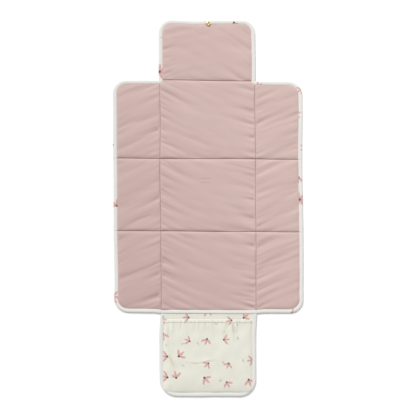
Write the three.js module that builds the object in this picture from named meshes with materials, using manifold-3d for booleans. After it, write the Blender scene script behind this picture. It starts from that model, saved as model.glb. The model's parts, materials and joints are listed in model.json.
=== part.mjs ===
// A fold-up changing mat: a quilted T-shaped mat with a closing flap at one end and a gathered nappy
// pocket at the other. It lies open and flat, padded face up, with +Y towards the flap.
// It folds in this order: side wings in, pocket up, third row over the second, both over the first,
// and the flap over all, where its press snap meets the stud in the back of the second row.
// The cloth that runs across a fold is parted there, so that each fold can turn.
// Millimetres, +Z up, origin under the middle of the open mat.
import * as THREE from "three";
import { mergeVertices } from "three/addons/utils/BufferGeometryUtils.js";
import Module from "manifold-3d";

const wasm = await Module();
wasm.setup();

// ---- Driving dimensions -----------------------------------------------------------------------
const centreWidth = 252; // between the two long quilting seams
const wingRoom = 4; // between the edges of the two wings when they are folded in
const endOverhang = 2; // how much wider the flap and the pocket are than the centre, on each side
const flapLength = 160;
const rowLengths = [207, 192, 219]; // the three quilted rows, from the flap to the pocket
const pocketShort = 1; // how much the pocket is shorter than the row that it folds up on

const cloth = 0.6; // one layer of cotton
const air = 0.3; // between layers that lie on each other
const paddingOverRivet = 0.3; // thinnest padding, over the rivet behind the snap's stud
const cellEdge = 20; // how far a cell's rounded edge reaches in from its seam
const pocketHeight = 9;
const pocketEdge = 24;

const bindingWidth = 11.5;
const matCorner = 37;
const flapCorner = 34;
const pocketCorner = 46;
const foldGap = 0.4; // from a fold or a quilting seam to the cloth beside it

const headerLength = 14; // backing cloth seen between the mat and the pocket's mouth
const casingWidth = 9; // channel sewn along the mouth for the elastic
const casingEnd = 3; // from the pocket's binding to the channel's open ends
const elasticThickness = 0.8;
const gatherPitch = 7.5;
const gatherDepth = 0.7;

const snapFromEnd = 10;
const snapRadius = 6;
const postRadius = 1.1;
const ballRadius = 2.1;
const studRadius = 4.8;
const studThickness = 0.9;
const snapReach = 1.2; // how far the stud's ball stands in the socket when shut
const stackGap = 0.5; // between the layers of the folded mat
const dishSlope = 2.6; // how far the sides of the stud's dish reach out
const patchLength = 26;
const patchWidth = 12;
const patchShift = -6; // the patch reaches further to one side of the stud

const edgeSteps = 4; // facets across a rounded edge
const cornerSteps = 5;
const roundSides = 20;

// ---- Worked out from them ---------------------------------------------------------------------
const matWidth = 2 * centreWidth - wingRoom;
const endWidth = centreWidth + 2 * endOverhang;
const pocketLength = rowLengths[2] - pocketShort;
const totalLength = flapLength + rowLengths[0] + rowLengths[1] + rowLengths[2] + pocketLength;
const flapSeam = totalLength / 2 - flapLength; // the fold lines, by their Y
const secondRowSeam = flapSeam - rowLengths[0];
const thirdRowSeam = secondRowSeam - rowLengths[1];
const pocketSeam = thirdRowSeam - rowLengths[2];
const wingSeam = centreWidth / 2;

const layer = cloth + air;
const backLevel = layer; // underside of the back cover where the binding holds it
const faceLevel = 2 * layer; // underside of the face cover there
const bindingHeight = 3 * layer + cloth;
const tuck = layer; // from the binding's outer edge to the covers inside it
const flange = bindingWidth - tuck + air; // flat edge of a cover, from its rim to past the binding
const mouthY = pocketSeam - headerLength;

const snapY = totalLength / 2 - snapFromEnd;
const studY = 2 * secondRowSeam - 2 * flapSeam + snapY; // where the shut flap brings the snap
const pinchRadius = snapRadius + 2 * air; // the padding is pressed flat within this

// Levels in the back of the second row, from the ground up: stud, dish, patch, rivet, padding, face.
const studBase = snapReach + air;
const dishFloor = studBase + studThickness + air;
const patchLevel = dishFloor + layer;
const rivetLevel = patchLevel + layer;
const cellHeight = rivetLevel + cloth + paddingOverRivet + cloth;
const socketTop = cellHeight + stackGap + snapReach;

// ---- Helpers ----------------------------------------------------------------------------------

// A rectangle with a radius for each corner: lower left, lower right, upper right, upper left.
function block(left, right, low, high, corners = [0, 0, 0, 0]) {
  return { left, right, low, high, corners };
}

// The same rectangle with each side moved in; corners keep their centres where both sides move alike.
function inset(area, left, right, low, high) {
  const sides = [[left, low], [right, low], [right, high], [left, high]];
  const corners = area.corners.map((radius, i) => Math.max(0, radius - Math.max(...sides[i])));
  return block(area.left + left, area.right - right, area.low + low, area.high - high, corners);
}

function outline({ left, right, low, high, corners }) {
  const [lowerLeft, lowerRight, upperRight, upperLeft] = corners;
  const shape = new THREE.Shape();
  const turn = Math.PI / 2;
  const corner = (x, y, radius, start) => {
    if (radius > 0) shape.absarc(x, y, radius, start, start + turn);
    else shape.lineTo(x, y);
  };
  shape.moveTo(left + lowerLeft, low);
  corner(right - lowerRight, low + lowerRight, lowerRight, -turn);
  corner(right - upperRight, high - upperRight, upperRight, 0);
  corner(left + upperLeft, high - upperLeft, upperLeft, turn);
  corner(left + lowerLeft, low + lowerLeft, lowerLeft, 2 * turn);
  return shape;
}

function solid(geometry) {
  const bare = geometry.clone();
  bare.deleteAttribute("normal");
  bare.deleteAttribute("uv");
  const merged = mergeVertices(bare, 1e-4);
  const vertProperties = new Float32Array(merged.attributes.position.array);
  const triVerts = new Uint32Array(merged.index.array);
  return new wasm.Manifold(new wasm.Mesh({ numProp: 3, vertProperties, triVerts }));
}

function slab(area, from, to) {
  const depth = to - from;
  const geometry = new THREE.ExtrudeGeometry(outline(area), {
    depth, bevelEnabled: false, curveSegments: cornerSteps,
  });
  return solid(geometry.translate(0, 0, from));
}

// A cushion on an area: flat at one level, swelling to another with a rounded edge that reaches in by edge,
// or by most of the smallest corner radius where that is less.
function swell(area, from, to, edge) {
  const rise = Math.abs(to - from);
  const roundCorners = area.corners.filter((radius) => radius > 0);
  const reach = Math.min(edge, ...roundCorners.map((radius) => 0.95 * radius));
  const geometry = new THREE.ExtrudeGeometry(outline(area), {
    depth: cloth, bevelThickness: rise, bevelSize: reach, bevelOffset: -reach,
    bevelSegments: edgeSteps, curveSegments: cornerSteps,
  });
  geometry.translate(0, 0, to > from ? from - cloth : from);
  return solid(geometry).intersect(slab(around(area), Math.min(from, to), Math.max(from, to)));
}

function around(area) {
  return block(area.left - 1, area.right + 1, area.low - 1, area.high + 1);
}

function disc(x, y, radius, from, to) {
  const geometry = new THREE.CylinderGeometry(radius, radius, to - from, roundSides);
  geometry.rotateX(Math.PI / 2);
  return solid(geometry.translate(x, y, (from + to) / 2));
}

// A turned solid about an upright axis, from [radius, height] corners.
function turned(x, y, profile) {
  const points = profile.map(([radius, height]) => new THREE.Vector2(radius, height));
  const geometry = new THREE.LatheGeometry(points, roundSides);
  geometry.rotateX(Math.PI / 2);
  return solid(geometry.translate(x, y, 0));
}

const group = new THREE.Group();

function add(name, manifold, material) {
  const mesh = manifold.getMesh();
  const geometry = new THREE.BufferGeometry();
  geometry.setAttribute("position", new THREE.BufferAttribute(mesh.vertProperties, 3));
  geometry.setIndex(new THREE.BufferAttribute(mesh.triVerts, 1));
  geometry.computeVertexNormals();
  const part = new THREE.Mesh(geometry, material);
  part.name = name;
  group.add(part);
}

// ---- Materials --------------------------------------------------------------------------------
const facing = new THREE.MeshStandardMaterial({ color: 0xcfb5ae, roughness: 0.9, metalness: 0 });
const backing = new THREE.MeshStandardMaterial({ color: 0xe4e3da, roughness: 0.9, metalness: 0 });
const filling = new THREE.MeshStandardMaterial({ color: 0xf2f2ee, roughness: 1, metalness: 0 });
const webbing = new THREE.MeshStandardMaterial({ color: 0xf0efe9, roughness: 0.8, metalness: 0 });
const brass = new THREE.MeshStandardMaterial({ color: 0xd1b77a, roughness: 0.25, metalness: 1 });

// ---- Padded panels ----------------------------------------------------------------------------

// A panel is an area with the width of its bound edge on each side, or 0 where it meets a fold or a seam.
function panel(name, area, bound) {
  const [left, right, low, high] = bound;
  const rims = bound.map((isBound) => (isBound ? tuck : foldGap));
  const rim = inset(area, ...rims);
  const cell = inset(rim, left * flange, right * flange, low * flange, high * flange);
  return { name, area, bound, rim, cell };
}

const flapCorners = [0, 0, flapCorner, flapCorner];
const flapArea = block(-endWidth / 2, endWidth / 2, flapSeam, totalLength / 2, flapCorners);
const flap = panel("flap", flapArea, [1, 1, 0, 1]);
const rowEdges = [flapSeam, secondRowSeam, thirdRowSeam, pocketSeam];
const rows = rowLengths.map((length, i) => {
  const high = rowEdges[i];
  const low = rowEdges[i + 1];
  const top = i === 0 ? 1 : 0;
  const bottom = i === 2 ? 1 : 0;
  const cornerTop = top * matCorner;
  const cornerBottom = bottom * matCorner;
  const name = `row${i + 1}`;
  const left = block(-matWidth / 2, -wingSeam, low, high, [cornerBottom, 0, 0, cornerTop]);
  const right = block(wingSeam, matWidth / 2, low, high, [0, cornerBottom, cornerTop, 0]);
  return {
    centre: panel(name, block(-wingSeam, wingSeam, low, high), [0, 0, bottom, 0]),
    left: panel(`${name}_left`, left, [1, 0, bottom, top]),
    right: panel(`${name}_right`, right, [0, 1, bottom, top]),
  };
});

// The padded face cloth: its rim lies flat in the binding and its middle swells up. The padding may be
// pressed flat within a radius of a point, and there the cloth keeps its rim's level.
function faceCover({ rim, cell }, pinch) {
  const outside = unlessPinched(swell(cell, faceLevel, cellHeight, cellEdge), pinch, 0);
  const lining = inset(cell, cloth, cloth, cloth, cloth);
  const inside = unlessPinched(swell(lining, faceLevel - air, cellHeight - cloth, cellEdge), pinch, cloth);
  return slab(rim, faceLevel, faceLevel + cloth).add(outside).subtract(inside);
}

// The floral back cloth: its rim lies in the binding and its middle rests on the ground.
function backCover({ rim, cell }, pinch) {
  const top = backLevel + cloth;
  const outside = unlessPinched(swell(cell, top, 0, cellEdge), pinch, 0);
  const lining = inset(cell, cloth, cloth, cloth, cloth);
  const inside = unlessPinched(swell(lining, top + air, cloth, cellEdge), pinch, cloth);
  return slab(rim, backLevel, top).add(outside).subtract(inside);
}

function unlessPinched(shape, pinch, wall) {
  if (!pinch) return shape;
  return shape.subtract(disc(pinch.x, pinch.y, pinch.radius + wall, -1, cellHeight + 1));
}

function wadding({ cell }) {
  const middle = (backLevel + cloth + faceLevel) / 2;
  const clear = 2 * layer;
  const area = inset(cell, clear, clear, clear, clear);
  const upper = swell(area, middle, cellHeight - layer, cellEdge);
  const lower = swell(area, middle, layer, cellEdge);
  return upper.add(lower);
}

// A folded tape that wraps the bound sides of a panel and is open towards its middle.
function binding({ area, bound }) {
  const sides = (reach) => bound.map((isBound) => (isBound ? reach : -reach));
  const round = 0.5;
  const edges = bound.map((isBound) => (isBound ? 0 : foldGap));
  const body = new THREE.ExtrudeGeometry(outline(inset(area, ...edges)), {
    depth: bindingHeight - 2 * round, bevelThickness: round, bevelSize: round, bevelOffset: -round,
    bevelSegments: 2, curveSegments: cornerSteps,
  });
  const tape = solid(body.translate(0, 0, round));
  const middle = slab(inset(area, ...sides(bindingWidth)), -1, bindingHeight + 1);
  const slot = slab(inset(area, ...sides(cloth)), cloth, bindingHeight - cloth);
  return tape.subtract(middle).subtract(slot);
}

// The four pieces of a panel. fitting holds what its snap changes in them.
function addPanel(item, fitting = {}) {
  const fitted = (piece, shape) => (fitting[piece] ? fitting[piece](shape) : shape);
  add(`${item.name}_face`, fitted("face", faceCover(item, fitting.pinch)), facing);
  add(`${item.name}_wadding`, fitted("wadding", wadding(item)), filling);
  add(`${item.name}_back`, fitted("back", backCover(item, fitting.pinch)), backing);
  if (item.bound.includes(1)) add(`${item.name}_binding`, fitted("binding", binding(item)), backing);
}

// ---- Flap, with the snap's cap and socket at the middle of its bound end -------------------------
const flapSnap = {
  pinch: { x: 0, y: snapY, radius: pinchRadius },
  face: (cover) => cover.subtract(snapBore()),
  back: (cover) => cover.subtract(snapBore()),
  wadding: (fill) => fill.subtract(disc(0, snapY, pinchRadius + layer, 0, cellHeight)),
  binding: (tape) => tape.subtract(disc(0, snapY, pinchRadius, -1, layer)).subtract(snapBore()),
};

function snapBore() {
  return disc(0, snapY, postRadius + air, -1, cellHeight + 1);
}

addPanel(flap, flapSnap);

const capHeight = cloth;
const postTop = bindingHeight + 2;
add("snap_cap", turned(0, snapY, [
  [0, 0], [snapRadius - 0.8, 0], [snapRadius, capHeight / 2], [snapRadius, capHeight],
  [postRadius, capHeight], [postRadius, postTop], [0, postTop],
]), brass);

// The socket is a rolled ring: a wide foot on the cloth, a domed crown and a hole for the stud's ball.
const socketFoot = bindingHeight + air;
const socketHole = ballRadius + air;
const socketFloor = socketFoot + 0.8;
add("snap_socket", turned(0, snapY, [
  [postRadius + air, socketFoot], [snapRadius - 0.6, socketFoot], [snapRadius, socketFoot + 0.7],
  [snapRadius - 0.1, socketFoot + 1.6], [snapRadius - 0.9, socketTop - 0.7], [snapRadius - 2, socketTop],
  [socketHole + 0.5, socketTop], [socketHole, socketTop - 0.5], [socketHole, socketFloor],
  [postRadius + air, socketFloor], [postRadius + air, socketFoot],
]), brass);

// ---- Three rows of three quilted cells -----------------------------------------------------------

// The stud sits in a dish in the back of the second row, so that the open mat still lies flat.
const dishNarrow = snapRadius + 2 * air;
const dishWide = dishNarrow + dishSlope;
const studBore = disc(0, studY, postRadius + air, studBase, cellHeight - layer);
const studRow = {
  back(cover) {
    const dish = turned(0, studY, [
      [postRadius + air, dishFloor], [dishNarrow, dishFloor], [dishWide, 0], [dishWide + cloth, 0],
      [dishWide + cloth, cloth], [dishWide, cloth], [dishNarrow, dishFloor + cloth],
      [postRadius + air, dishFloor + cloth], [postRadius + air, dishFloor],
    ]);
    return cover.subtract(disc(0, studY, dishWide, -1, layer)).add(dish);
  },
  wadding(fill) {
    const dish = turned(0, studY, [
      [0, 0], [dishWide + layer, 0], [dishWide + layer, layer], [dishNarrow + layer, dishFloor + layer],
      [0, dishFloor + layer],
    ]);
    const seat = inset(patchArea, -layer, -layer, -layer, -layer);
    const rivet = disc(0, studY, studRadius + air, dishFloor, cellHeight);
    return fill.subtract(dish).subtract(rivet).subtract(slab(seat, patchLevel - air, patchLevel + layer));
  },
};
const patchArea = block(
  patchShift - patchLength / 2, patchShift + patchLength / 2,
  studY - patchWidth / 2, studY + patchWidth / 2, [2, 2, 2, 2]);

rows.forEach(({ centre, left, right }, i) => {
  addPanel(centre, i === 1 ? studRow : undefined);
  addPanel(left);
  addPanel(right);
});

add("stud_patch", slab(patchArea, patchLevel, patchLevel + cloth).subtract(studBore), webbing);

add("snap_stud", turned(0, studY, [
  [0, 0], [ballRadius - 0.5, 0], [ballRadius, 0.4], [ballRadius, 0.9], [ballRadius - 0.3, studBase],
  [studRadius - 0.3, studBase], [studRadius, studBase + 0.3], [studRadius, studBase + studThickness],
  [postRadius + air, studBase + studThickness], [postRadius + air, layer], [0, layer],
]), brass);

add("stud_rivet", turned(0, studY, [
  [0, layer + air], [postRadius, layer + air], [postRadius, rivetLevel], [studRadius, rivetLevel],
  [studRadius, rivetLevel + 0.4], [studRadius - 0.4, rivetLevel + cloth], [0, rivetLevel + cloth],
]), brass);

// ---- Pocket: a back, a gathered front with elastic along its mouth, and a bound edge ---------------
const pocketArea = block(
  -endWidth / 2, endWidth / 2, pocketSeam - pocketLength, pocketSeam, [pocketCorner, pocketCorner, 0, 0]);
const pocket = panel("pocket", pocketArea, [1, 1, 1, 0]);
const belowMouth = block(pocketArea.left, pocketArea.right, pocketArea.low, mouthY);

// Height of the front's upper side across the mouth, and of the layers under it.
function arch(x, under) {
  const reach = pocket.cell.right - Math.abs(x);
  const bend = Math.max(0, Math.min(1, 1 - reach / pocketEdge));
  const foot = faceLevel + cloth;
  return foot + (pocketHeight - gatherDepth - foot) * Math.sqrt(1 - bend * bend) - under;
}

// A band along the mouth from one depth under the arch to another. The gathers ripple its upper side.
function mouthBand(halfWidth, upper, lower, ripple, from, to) {
  const pitch = ripple ? gatherPitch / 4 : gatherPitch;
  const count = Math.round((2 * halfWidth) / pitch);
  const across = (i) => -halfWidth + (2 * halfWidth * i) / count;
  const wave = (x) => ripple * gatherDepth * 0.5 * (1 + Math.cos((2 * Math.PI * x) / gatherPitch));
  const shape = new THREE.Shape();
  shape.moveTo(across(0), arch(across(0), lower));
  for (let i = 1; i <= count; i++) shape.lineTo(across(i), arch(across(i), lower));
  for (let i = count; i >= 0; i--) shape.lineTo(across(i), arch(across(i), upper) + wave(across(i)));
  const geometry = new THREE.ExtrudeGeometry(shape, { depth: to - from, bevelEnabled: false });
  geometry.rotateX(Math.PI / 2);
  return solid(geometry.translate(0, to, 0));
}

const casingDepth = 2 * cloth + elasticThickness + 2 * air;
const casingHalf = pocket.cell.right - casingEnd;
const casingLow = mouthY - casingWidth;

// The front panel bulges between its bound edges and leaves room at the mouth for the casing.
function pocketFront() {
  const open = inset(pocket.cell, 0, 0, 0, -pocketEdge);
  const inside = inset(open, cloth, cloth, cloth, cloth);
  const casingRoom = block(-casingHalf - air, casingHalf + air, casingLow - air, mouthY + air);
  return slab(pocket.rim, faceLevel, faceLevel + cloth)
    .add(swell(open, faceLevel, pocketHeight - gatherDepth, pocketEdge))
    .subtract(swell(inside, faceLevel - air, pocketHeight - gatherDepth - cloth, pocketEdge))
    .intersect(slab(belowMouth, 0, pocketHeight))
    .subtract(slab(casingRoom, 0, pocketHeight));
}

// The casing is a flat tube along the mouth, rippled on top by the pull of the elastic in it.
function pocketCasing() {
  const tube = mouthBand(casingHalf, 0, casingDepth, 1, casingLow, mouthY);
  const channel = mouthBand(
    casingHalf + 1, cloth, casingDepth - cloth, 0, casingLow + cloth, mouthY - cloth);
  return tube.subtract(channel);
}

add("pocket_back", backCover(pocket), backing);
add("pocket_front", pocketFront(), backing);
add("pocket_casing", pocketCasing(), backing);
add("pocket_elastic", mouthBand(
  casingHalf, layer, layer + elasticThickness, 0, casingLow + layer, mouthY - layer), webbing);
add("pocket_binding", binding(pocket), backing);

export default group;
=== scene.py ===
"""A fold-up changing mat: quilted pink cotton, blossom-print back, bound edge, gathered pocket, snap."""
import json
import math
from collections import namedtuple

import bmesh
import bpy
from bpy.props import FloatProperty, FloatVectorProperty, PointerProperty
from mathutils import Matrix, Vector, noise


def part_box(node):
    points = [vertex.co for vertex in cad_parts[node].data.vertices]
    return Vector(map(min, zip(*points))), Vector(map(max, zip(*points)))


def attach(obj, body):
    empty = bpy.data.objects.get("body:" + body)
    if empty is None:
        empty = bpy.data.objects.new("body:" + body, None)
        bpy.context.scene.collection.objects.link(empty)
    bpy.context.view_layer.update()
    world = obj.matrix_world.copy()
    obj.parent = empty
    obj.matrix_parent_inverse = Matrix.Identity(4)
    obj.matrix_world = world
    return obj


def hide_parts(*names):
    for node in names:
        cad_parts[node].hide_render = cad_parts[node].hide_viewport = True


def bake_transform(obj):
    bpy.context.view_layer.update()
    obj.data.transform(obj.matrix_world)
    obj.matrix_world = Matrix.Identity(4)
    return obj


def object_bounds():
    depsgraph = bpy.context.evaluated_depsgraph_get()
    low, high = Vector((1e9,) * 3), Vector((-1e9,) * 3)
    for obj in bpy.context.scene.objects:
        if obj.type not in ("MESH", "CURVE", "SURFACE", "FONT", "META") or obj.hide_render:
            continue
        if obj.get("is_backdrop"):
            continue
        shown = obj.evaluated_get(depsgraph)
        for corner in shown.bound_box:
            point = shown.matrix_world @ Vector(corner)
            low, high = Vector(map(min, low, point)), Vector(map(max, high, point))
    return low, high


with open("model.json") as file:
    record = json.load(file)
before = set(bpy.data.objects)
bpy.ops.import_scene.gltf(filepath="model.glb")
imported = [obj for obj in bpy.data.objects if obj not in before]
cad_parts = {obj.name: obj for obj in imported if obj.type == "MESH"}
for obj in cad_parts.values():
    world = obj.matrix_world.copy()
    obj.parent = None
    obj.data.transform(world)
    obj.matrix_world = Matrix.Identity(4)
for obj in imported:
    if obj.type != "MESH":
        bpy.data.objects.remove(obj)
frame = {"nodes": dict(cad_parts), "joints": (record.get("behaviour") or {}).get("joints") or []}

bl_info = {
    "name": "Fold-up changing mat",
    "version": (1, 0, 0),
    "blender": (4, 5, 0),
    "location": "View3D > Sidebar > Changing mat",
    "description": "Builds the quilted mat, its binding, pocket, snap and stage around the packed frame",
    "category": "Add Mesh",
}

MM = 0.001
CAD_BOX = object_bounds()
noise.seed_set(7)   # else the cloth's slow wander would follow the clock and differ at each run


# ---- Places taken from the frame ---------------------------------------------------------------

JOINTS = {joint["name"]: joint for joint in frame["joints"]}
FLAP_Y, ROW2_Y, ROW3_Y, POCKET_Y = (
    JOINTS[name]["pos_m"][1] for name in ("flap_fold", "row2_fold", "row3_fold", "pocket_fold"))
SEAM_X = JOINTS["row2_right_fold"]["pos_m"][0]
EDGE_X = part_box("row2_right_binding")[1][0]
END_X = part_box("flap_binding")[1][0]
TOP_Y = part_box("flap_binding")[1][1]
BOTTOM_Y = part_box("pocket_binding")[0][1]
MOUTH_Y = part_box("pocket_casing")[1][1]
CASING_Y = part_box("pocket_casing")[0][1]
TAPE_WIDTH = 0.92 * (EDGE_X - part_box("row2_right_binding")[0][0])
STUD = [(low + high) / 2 for low, high in zip(*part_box("snap_stud"))]
SNAP = [(low + high) / 2 for low, high in zip(*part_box("snap_socket"))]

# A panel's outline, the sides that are bound (l, r, b, t) and the radius of its bound corners.
Panel = namedtuple("Panel", "left right low high bound corner")


def mat_panels(corner, flap_corner):
    """The flap and the nine quilted cells, by the name of the body that carries each."""
    panels = {"flap": Panel(-END_X, END_X, FLAP_Y, TOP_Y, "lrt", flap_corner)}
    edges = (FLAP_Y, ROW2_Y, ROW3_Y, POCKET_Y)
    for row, extra in enumerate(("t", "", "b")):
        low, high = edges[row + 1], edges[row]
        name = f"row{row + 1}"
        centre_bound = "b" if extra == "b" else ""
        panels[name] = Panel(-SEAM_X, SEAM_X, low, high, centre_bound, corner)
        panels[f"{name}_left"] = Panel(-EDGE_X, -SEAM_X, low, high, "l" + extra, corner)
        panels[f"{name}_right"] = Panel(SEAM_X, EDGE_X, low, high, "r" + extra, corner)
    return panels


def ramp(value, start, end):
    """0 before start, 1 after end, smooth between."""
    t = min(1, max(0, (value - start) / (end - start)))
    return t * t * (3 - 2 * t)


WANDER = 1.8 * MM        # how far the sewn lines stray, at the most
SKEW_ACROSS = 0.007      # the mat lies a little out of square
SKEW_ALONG = 0.006
POCKET_SHIFT = 3 * MM    # the pocket lies a little to the left of the mat's middle


def drift(point):
    """Where cloth that was drawn at a point really lies: a slight skew, a slow wander and a drawn-in edge."""
    shift = noise.noise_vector(Vector((point.x * 7, point.y * 7, 3.1))) * WANDER
    x = point.x + shift.x - SKEW_ACROSS * max(point.y, -0.25) - POCKET_SHIFT * ramp(-point.y, 0.27, 0.34)
    y = point.y + shift.y - SKEW_ALONG * point.x
    # The flap's end sags beside the snap, and the wings' lower edge is a little shorter than the middle's.
    y -= 2.2 * MM * ramp(point.y, 0.44, 0.49) * math.exp(-((point.x + 0.032) / 0.03) ** 2)
    y += 1.5 * MM * ramp(-point.y, 0.2, 0.275) * ramp(-point.y, 0.42, 0.3)
    y += 2.2 * MM * ramp(-point.y, 0.22, 0.28) * ramp(abs(point.x), 0.124, 0.145) * ramp(-point.y, 0.5, 0.28)
    return Vector((x, y, point.z))


# ---- Colour and nodes --------------------------------------------------------------------------

def linear(code):
    """An sRGB hex colour as linear RGB."""
    channels = [int(code[i:i + 2], 16) / 255 for i in (1, 3, 5)]
    return [c / 12.92 if c <= 0.04045 else ((c + 0.055) / 1.055) ** 2.4 for c in channels]


def fill(tree, node, inputs):
    """Sets or links a node's inputs, by order, number or name, from values, sockets or other nodes."""
    for name, value in inputs.items() if isinstance(inputs, dict) else enumerate(inputs):
        socket = node.inputs[name]
        if isinstance(value, bpy.types.Node):
            value = value.outputs[0]
        if isinstance(value, bpy.types.NodeSocket):
            tree.links.new(value, socket)
        else:
            socket.default_value = (*value, 1) if socket.type == "RGBA" else value


def add_node(tree, kind, inputs=(), **settings):
    """Adds a node with its settings and its inputs."""
    node = tree.nodes.new("ShaderNode" + kind)
    for name, value in settings.items():
        setattr(node, name, value)
    fill(tree, node, inputs)
    return node


def new_material(name):
    """A material with only its shader, and the coordinates of the piece that wears it."""
    material = bpy.data.materials.new(name)
    material.use_nodes = True
    tree = material.node_tree
    tree.nodes.clear()
    shader = add_node(tree, "BsdfPrincipled")
    add_node(tree, "OutputMaterial", {"Surface": shader})
    return tree, shader, add_node(tree, "TexCoord").outputs["Object"]


def weave_height(tree, place, pitch):
    """Height of a plain weave with the given thread pitch: warp and weft waves that cross."""
    parts = add_node(tree, "SeparateXYZ", (place,))
    waves = []
    for axis in (0, 1):
        phase = add_node(tree, "Math", (parts.outputs[axis], 2 * math.pi / pitch), operation="MULTIPLY")
        waves.append(add_node(tree, "Math", (phase,), operation="SINE"))
    return add_node(tree, "Math", waves, operation="MULTIPLY")


def cotton(name, base, shade, pitch, roughness, sheen):
    """Plain woven cotton: matte, a faint sheen at grazing angles, slubs in the thread, slow dye variation."""
    tree, shader, place = new_material(name)
    cloud = add_node(tree, "TexNoise", {"Vector": place, "Scale": 9.0, "Detail": 3.0})
    slub_place = add_node(tree, "Mapping", {"Vector": place, "Scale": (60, 420, 60)})
    slub = add_node(tree, "TexNoise", {"Vector": slub_place, "Scale": 1.0, "Detail": 2.0})
    clouded = add_node(tree, "Math", (cloud, 0.7), operation="MULTIPLY")
    slubbed = add_node(tree, "Math", (slub, 0.3), operation="MULTIPLY")
    dye = add_node(tree, "Math", (clouded, slubbed), operation="ADD")
    colour = add_node(tree, "Mix", {0: dye, 6: base, 7: shade}, data_type="RGBA").outputs[2]
    slub_rise = add_node(tree, "Math", (slub, 2.0), operation="MULTIPLY")
    height = add_node(tree, "Math", (weave_height(tree, place, pitch), slub_rise), operation="ADD")
    bump = add_node(tree, "Bump", {"Height": height, "Strength": 0.35, "Distance": 0.04 * MM})
    fill(tree, shader, {"Roughness": roughness, "Sheen Weight": sheen, "Sheen Roughness": 0.5,
                        "Specular IOR Level": 0.25, "Normal": bump, "Base Color": colour})
    return tree, shader, place, colour


def dusty_pink_cotton(colours):
    """Dusty-pink cotton, washed, with painted shade: it is coloured a little darker towards the lower left
    corner, where the light falls off.
    """
    tree, shader, place, colour = cotton("dusty_pink_cotton", colours.face, colours.face_shade,
                                         FACE_THREAD, 0.9, 0.15)
    # Painted shade: the colour is mixed towards a darker, redder pink towards the lower left corner.
    parts = add_node(tree, "SeparateXYZ", (place,))
    up = add_node(tree, "Math", (parts.outputs[1], 0.7), operation="MULTIPLY")
    up_and_right = add_node(tree, "Math", (parts.outputs[0], up), operation="ADD")
    share = add_node(tree, "Math", (0.15, up_and_right), operation="SUBTRACT")
    share = add_node(tree, "Clamp", {0: share, "Max": 0.6})
    deeper = [c * d for c, d in zip(colours.face, (0.80, 0.72, 0.76))]
    painted_falloff_shade = add_node(tree, "Mix", {0: share, 6: colour, 7: deeper}, data_type="RGBA")
    fill(tree, shader, {"Base Color": painted_falloff_shade.outputs[2]})


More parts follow.
